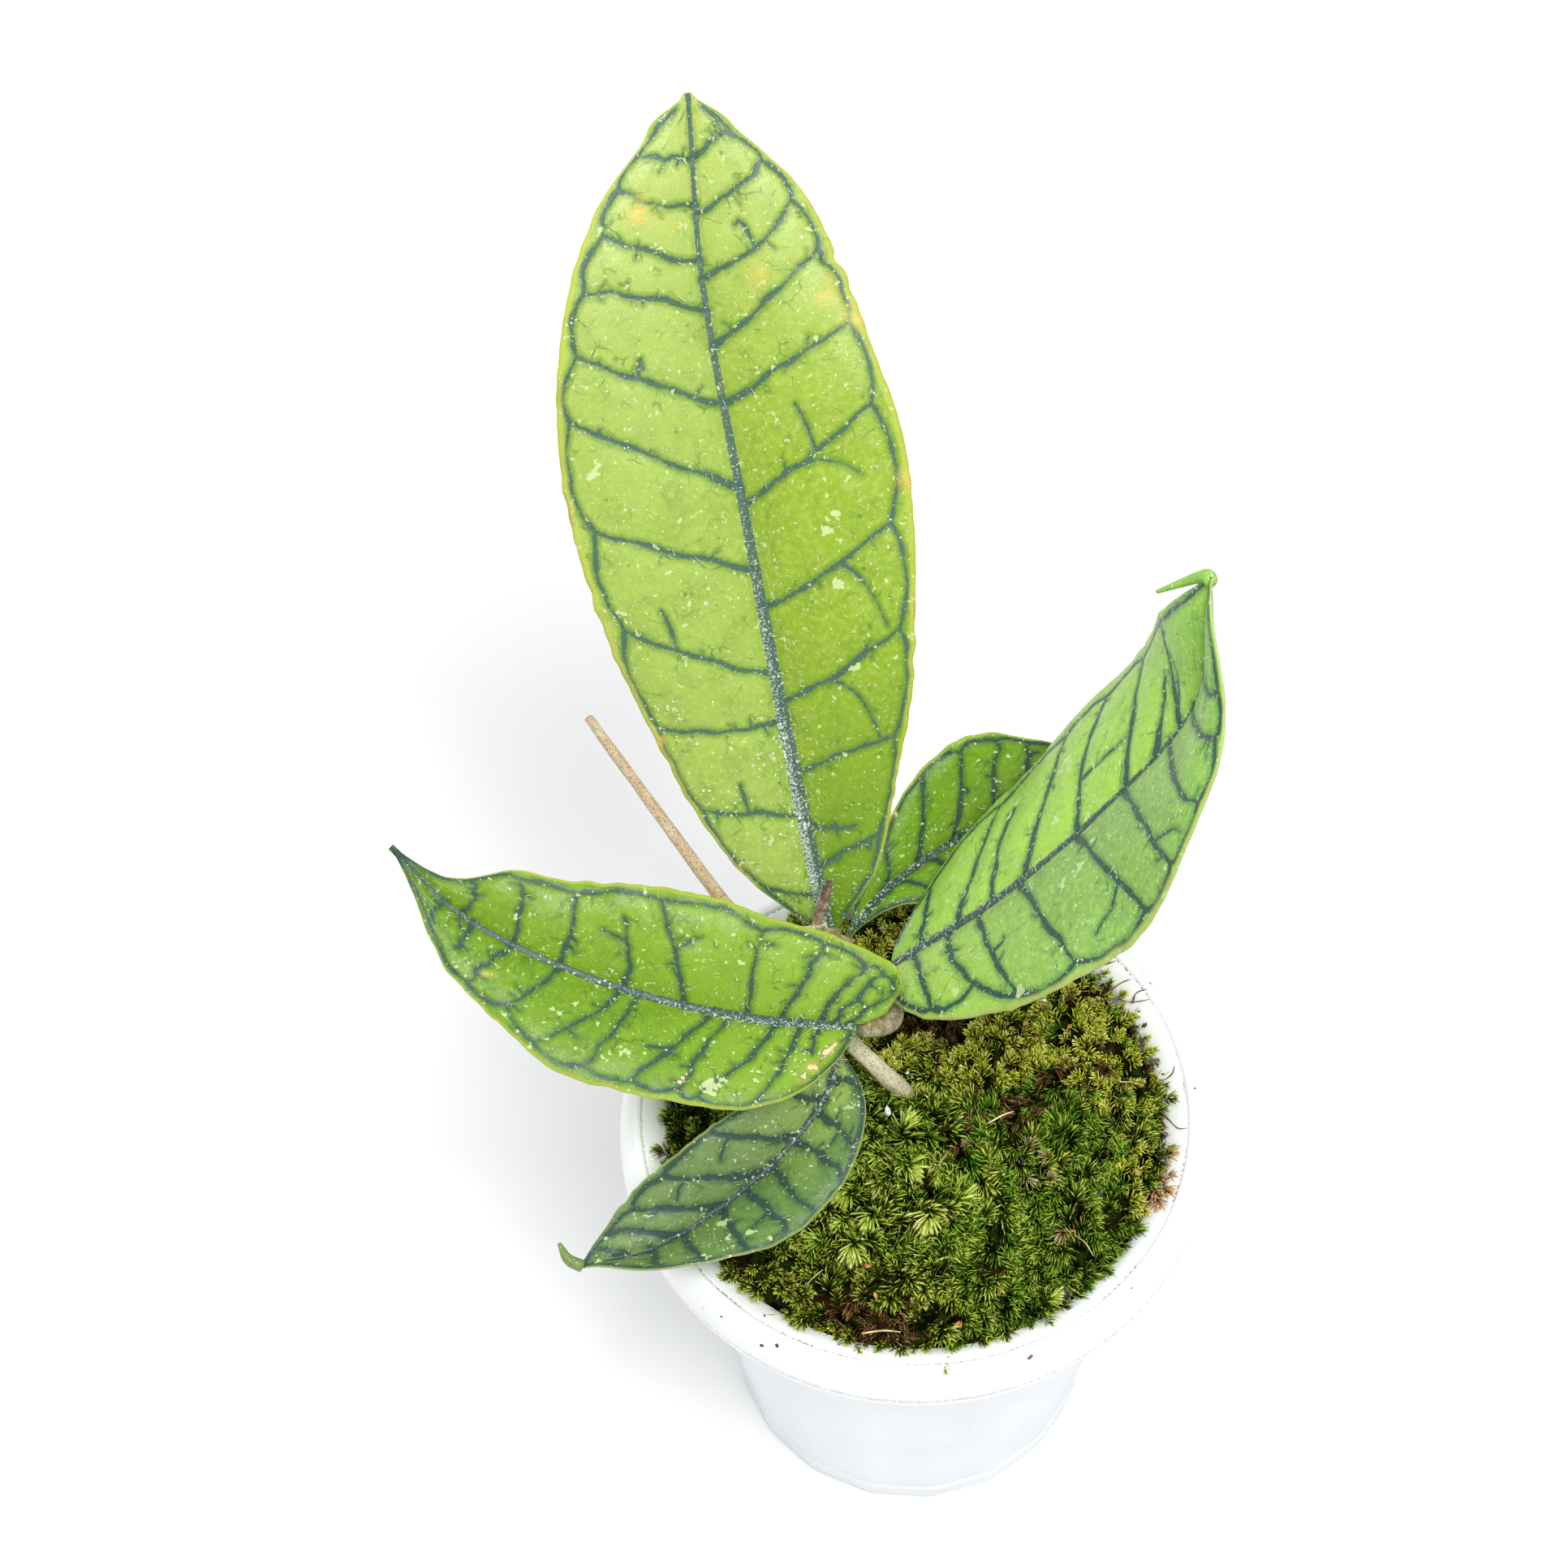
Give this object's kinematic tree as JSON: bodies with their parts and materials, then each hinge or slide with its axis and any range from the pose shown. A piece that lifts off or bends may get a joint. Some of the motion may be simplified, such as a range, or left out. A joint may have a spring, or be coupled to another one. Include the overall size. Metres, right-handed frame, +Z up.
{
  "type": "potted hoya plant",
  "caption": "Hoya vine with large dark-veined leaves and a dry cut stem end, growing out of moss in a faceted round-rimmed white pot.",
  "frame": {"origin": "middle of the pot's flat base", "axes": "+Z up, +X to the right in the picture's view, +Y away from the picture's viewer"},
  "size_m": [0.1596, 0.1814, 0.278],
  "materials": {
    "pot_plastic": "white moulded plastic, faint sheen, soil stains under the rim",
    "growing_mix": "damp dark potting mix of bark and peat",
    "moss": "living moss, mixed greens with brown dry tips",
    "bark": "tan vine bark with dark cracks",
    "petiole": "green-brown skin with pale specks",
    "leaf_light": "thick waxy lime leaf with dark veins",
    "leaf": "thick waxy green leaf with dark veins and grey bloom",
    "leaf_dark": "thick waxy dark green leaf with dark veins",
    "dry_stalk": "dry purple-brown stalk with a pale bract"
  },
  "bodies": {
    "root": {"pot": "pot_plastic", "growing_mix": "growing_mix", "moss_carpet": "moss", "stem": "bark", "petiole_tall": "petiole", "petiole_left": "petiole", "petiole_front": "petiole", "petiole_right": "petiole", "petiole_behind": "petiole", "leaf_tall": "leaf_light", "leaf_left": "leaf", "leaf_front": "leaf_dark", "leaf_right": "leaf", "leaf_behind": "leaf_dark", "flower_stalk": "dry_stalk"}
  },
  "joints": []
}
